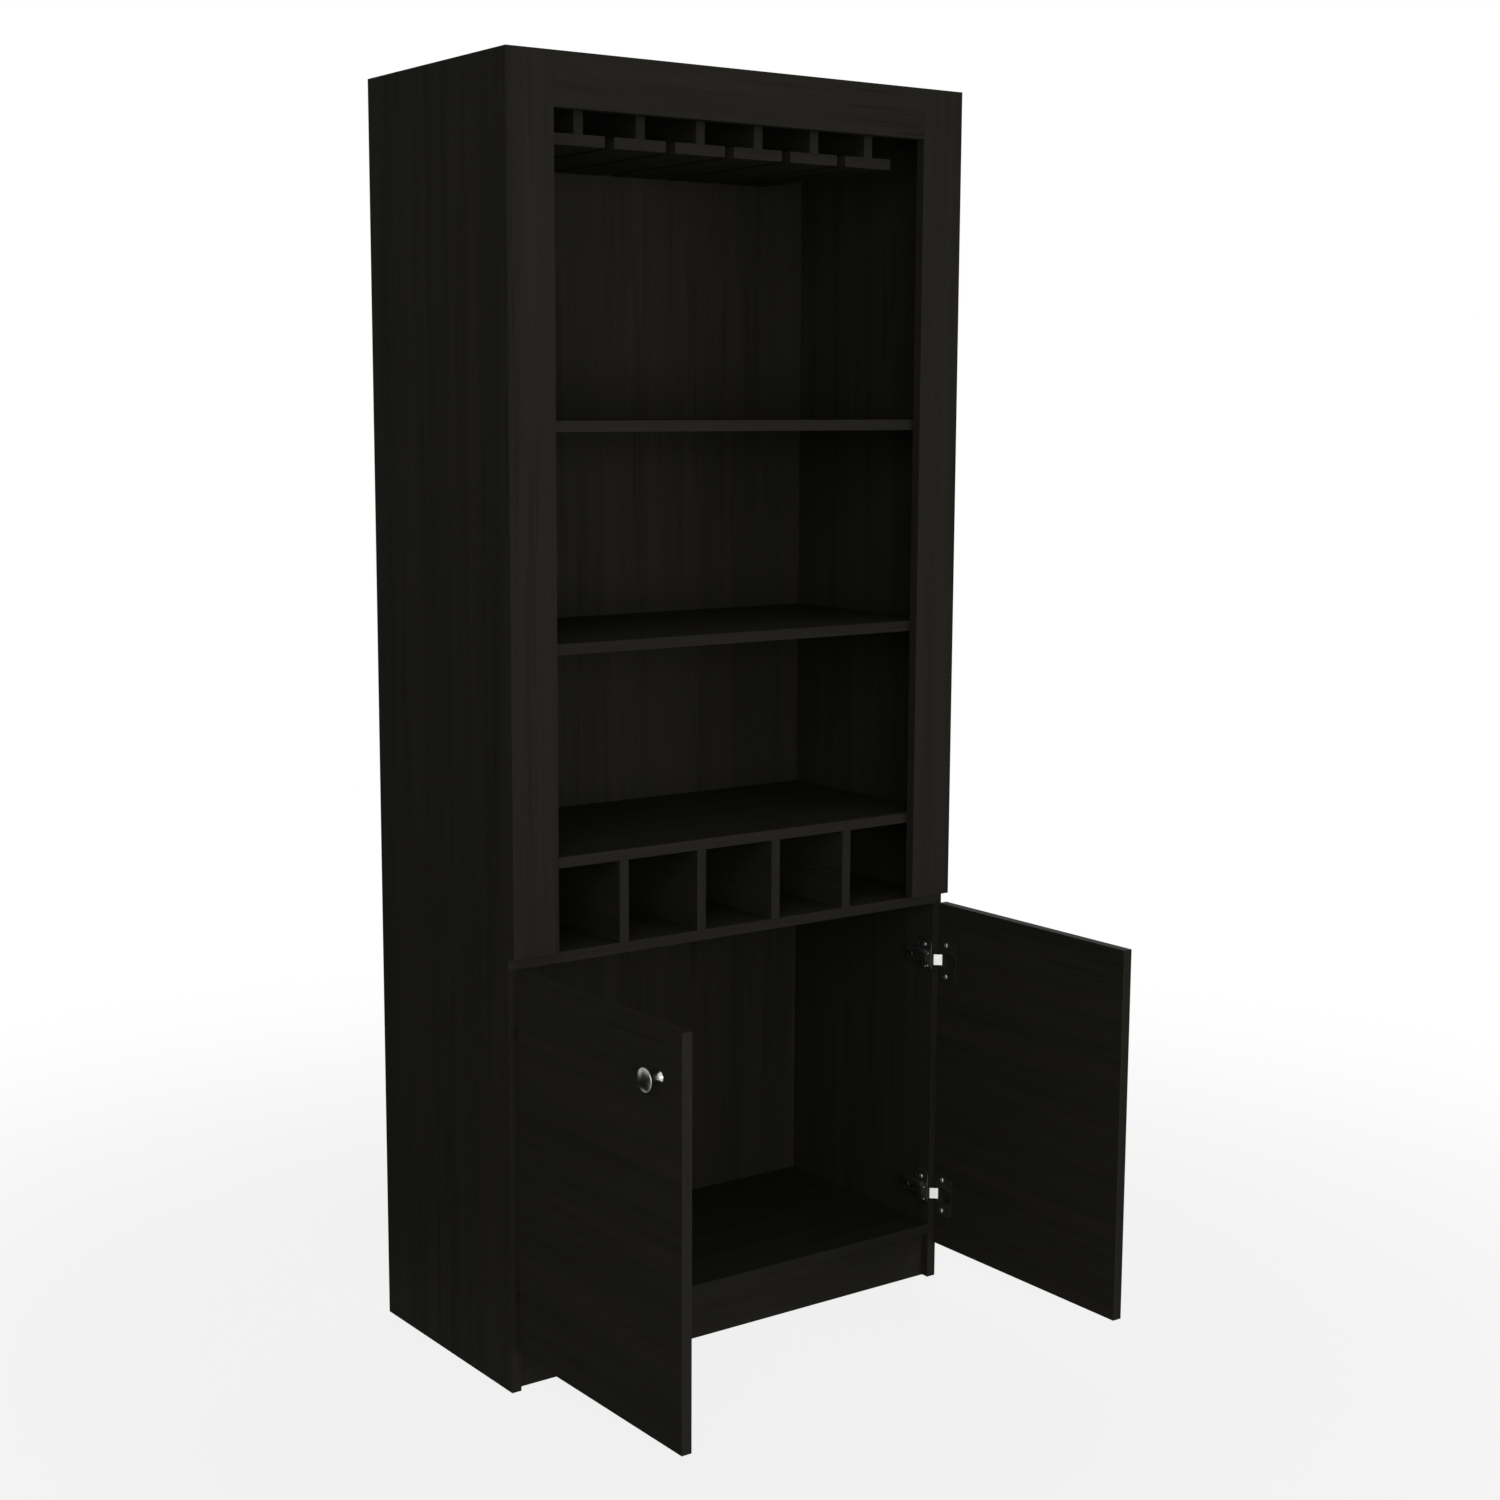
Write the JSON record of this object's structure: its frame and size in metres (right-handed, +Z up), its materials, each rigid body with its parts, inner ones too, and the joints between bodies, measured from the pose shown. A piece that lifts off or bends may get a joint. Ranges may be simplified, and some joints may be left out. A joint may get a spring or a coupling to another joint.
{
  "type": "bar armoire",
  "caption": "Tall dark-wood bar cabinet: face-framed open bay with hanging stemware rails and shelves, a bottle rack, and below it a cupboard with hinged doors and knobs.",
  "frame": {"origin": "middle of the toe kick's underside, on the floor", "axes": "+Z up, the open front faces -Y, +X to the right as seen from the front; the doors rest open"},
  "size_m": [0.814, 0.7462, 1.775],
  "materials": {
    "side_board": "satin wenge melamine",
    "stile_board": "satin wenge melamine",
    "rail_board": "satin wenge melamine",
    "door_board": "satin wenge melamine",
    "back_board": "satin wenge melamine",
    "kick_board": "satin wenge melamine",
    "divider_board": "satin wenge melamine",
    "stem_rail_board": "satin wenge melamine",
    "shelf_board": "satin wenge melamine",
    "hinge_nickel": "dull nickel plate",
    "hinge_bright": "bright nickel plate",
    "screw_steel": "bright zinc plate",
    "knob_nickel": "polished nickel",
    "cam_zinc": "die-cast zinc",
    "dowel_beech": "raw beech"
  },
  "bodies": {
    "carcass": {"back_nails": "screw_steel", "back_panel_lower": "back_board", "back_panel_upper": "back_board", "base": "shelf_board", "cam_bolts": "cam_zinc", "cam_locks": "cam_zinc", "divider_pegs": "dowel_beech", "dowels": "dowel_beech", "frame_pegs": "dowel_beech", "frame_rail": "rail_board", "hinge_arm_screws": "screw_steel", "hinge_pins": "screw_steel", "hinge_plate_screws": "screw_steel", "left_hinge_arms": "hinge_nickel", "left_hinge_plates": "hinge_nickel", "left_side": "side_board", "left_stile": "stile_board", "middle_shelf": "shelf_board", "rack_divider_1": "divider_board", "rack_divider_2": "divider_board", "rack_divider_3": "divider_board", "rack_divider_4": "divider_board", "rack_floor": "shelf_board", "rack_top": "shelf_board", "right_hinge_arms": "hinge_nickel", "right_hinge_plates": "hinge_nickel", "right_side": "side_board", "right_stile": "stile_board", "stem_rail_pegs": "dowel_beech", "stem_rail_plate_1": "stem_rail_board", "stem_rail_plate_2": "stem_rail_board", "stem_rail_plate_3": "stem_rail_board", "stem_rail_plate_4": "stem_rail_board", "stem_rail_plate_5": "stem_rail_board", "stem_rail_plate_6": "stem_rail_board", "stem_rail_web_1": "stem_rail_board", "stem_rail_web_2": "stem_rail_board", "stem_rail_web_3": "stem_rail_board", "stem_rail_web_4": "stem_rail_board", "stem_rail_web_5": "stem_rail_board", "stem_rail_web_6": "stem_rail_board", "toe_kick": "kick_board", "top": "shelf_board", "upper_shelf": "shelf_board"},
    "right_door_leaf": {"right_door": "door_board", "right_hinge_cups": "hinge_nickel", "right_cup_screws": "screw_steel", "right_knob_base": "knob_nickel", "right_knob_head": "knob_nickel", "right_knob_screw": "screw_steel"},
    "left_door_leaf": {"left_door": "door_board", "left_hinge_cups": "hinge_nickel", "left_cup_screws": "screw_steel", "left_knob_base": "knob_nickel", "left_knob_head": "knob_nickel", "left_knob_screw": "screw_steel"},
    "right_link_pair": {"right_hinge_links": "hinge_bright"},
    "left_link_pair": {"left_hinge_links": "hinge_bright"}
  },
  "joints": [
    {"name": "right_door_hinge", "type": "hinge", "parent": "carcass", "child": "right_door_leaf", "pos_m": [0.3782, -0.037, 0.3275], "axis": [0, 0, 1], "range_deg": [-90, 5]},
    {"name": "right_link_swing", "type": "hinge", "parent": "carcass", "child": "right_link_pair", "pos_m": [0.3471, -0.0298, 0.3275], "axis": [0, 0, 1], "range_deg": [-3, 40]},
    {"name": "left_door_hinge", "type": "hinge", "parent": "carcass", "child": "left_door_leaf", "pos_m": [-0.3782, -0.037, 0.3275], "axis": [0, 0, -1], "range_deg": [-90, 5]},
    {"name": "left_link_swing", "type": "hinge", "parent": "carcass", "child": "left_link_pair", "pos_m": [-0.3471, -0.0298, 0.3275], "axis": [0, 0, -1], "range_deg": [-3, 40]}
  ],
  "couplings": [
    {"joint": "right_link_swing", "follows": "right_door_hinge", "ratio": -0.435},
    {"joint": "left_link_swing", "follows": "left_door_hinge", "ratio": -0.435}
  ]
}
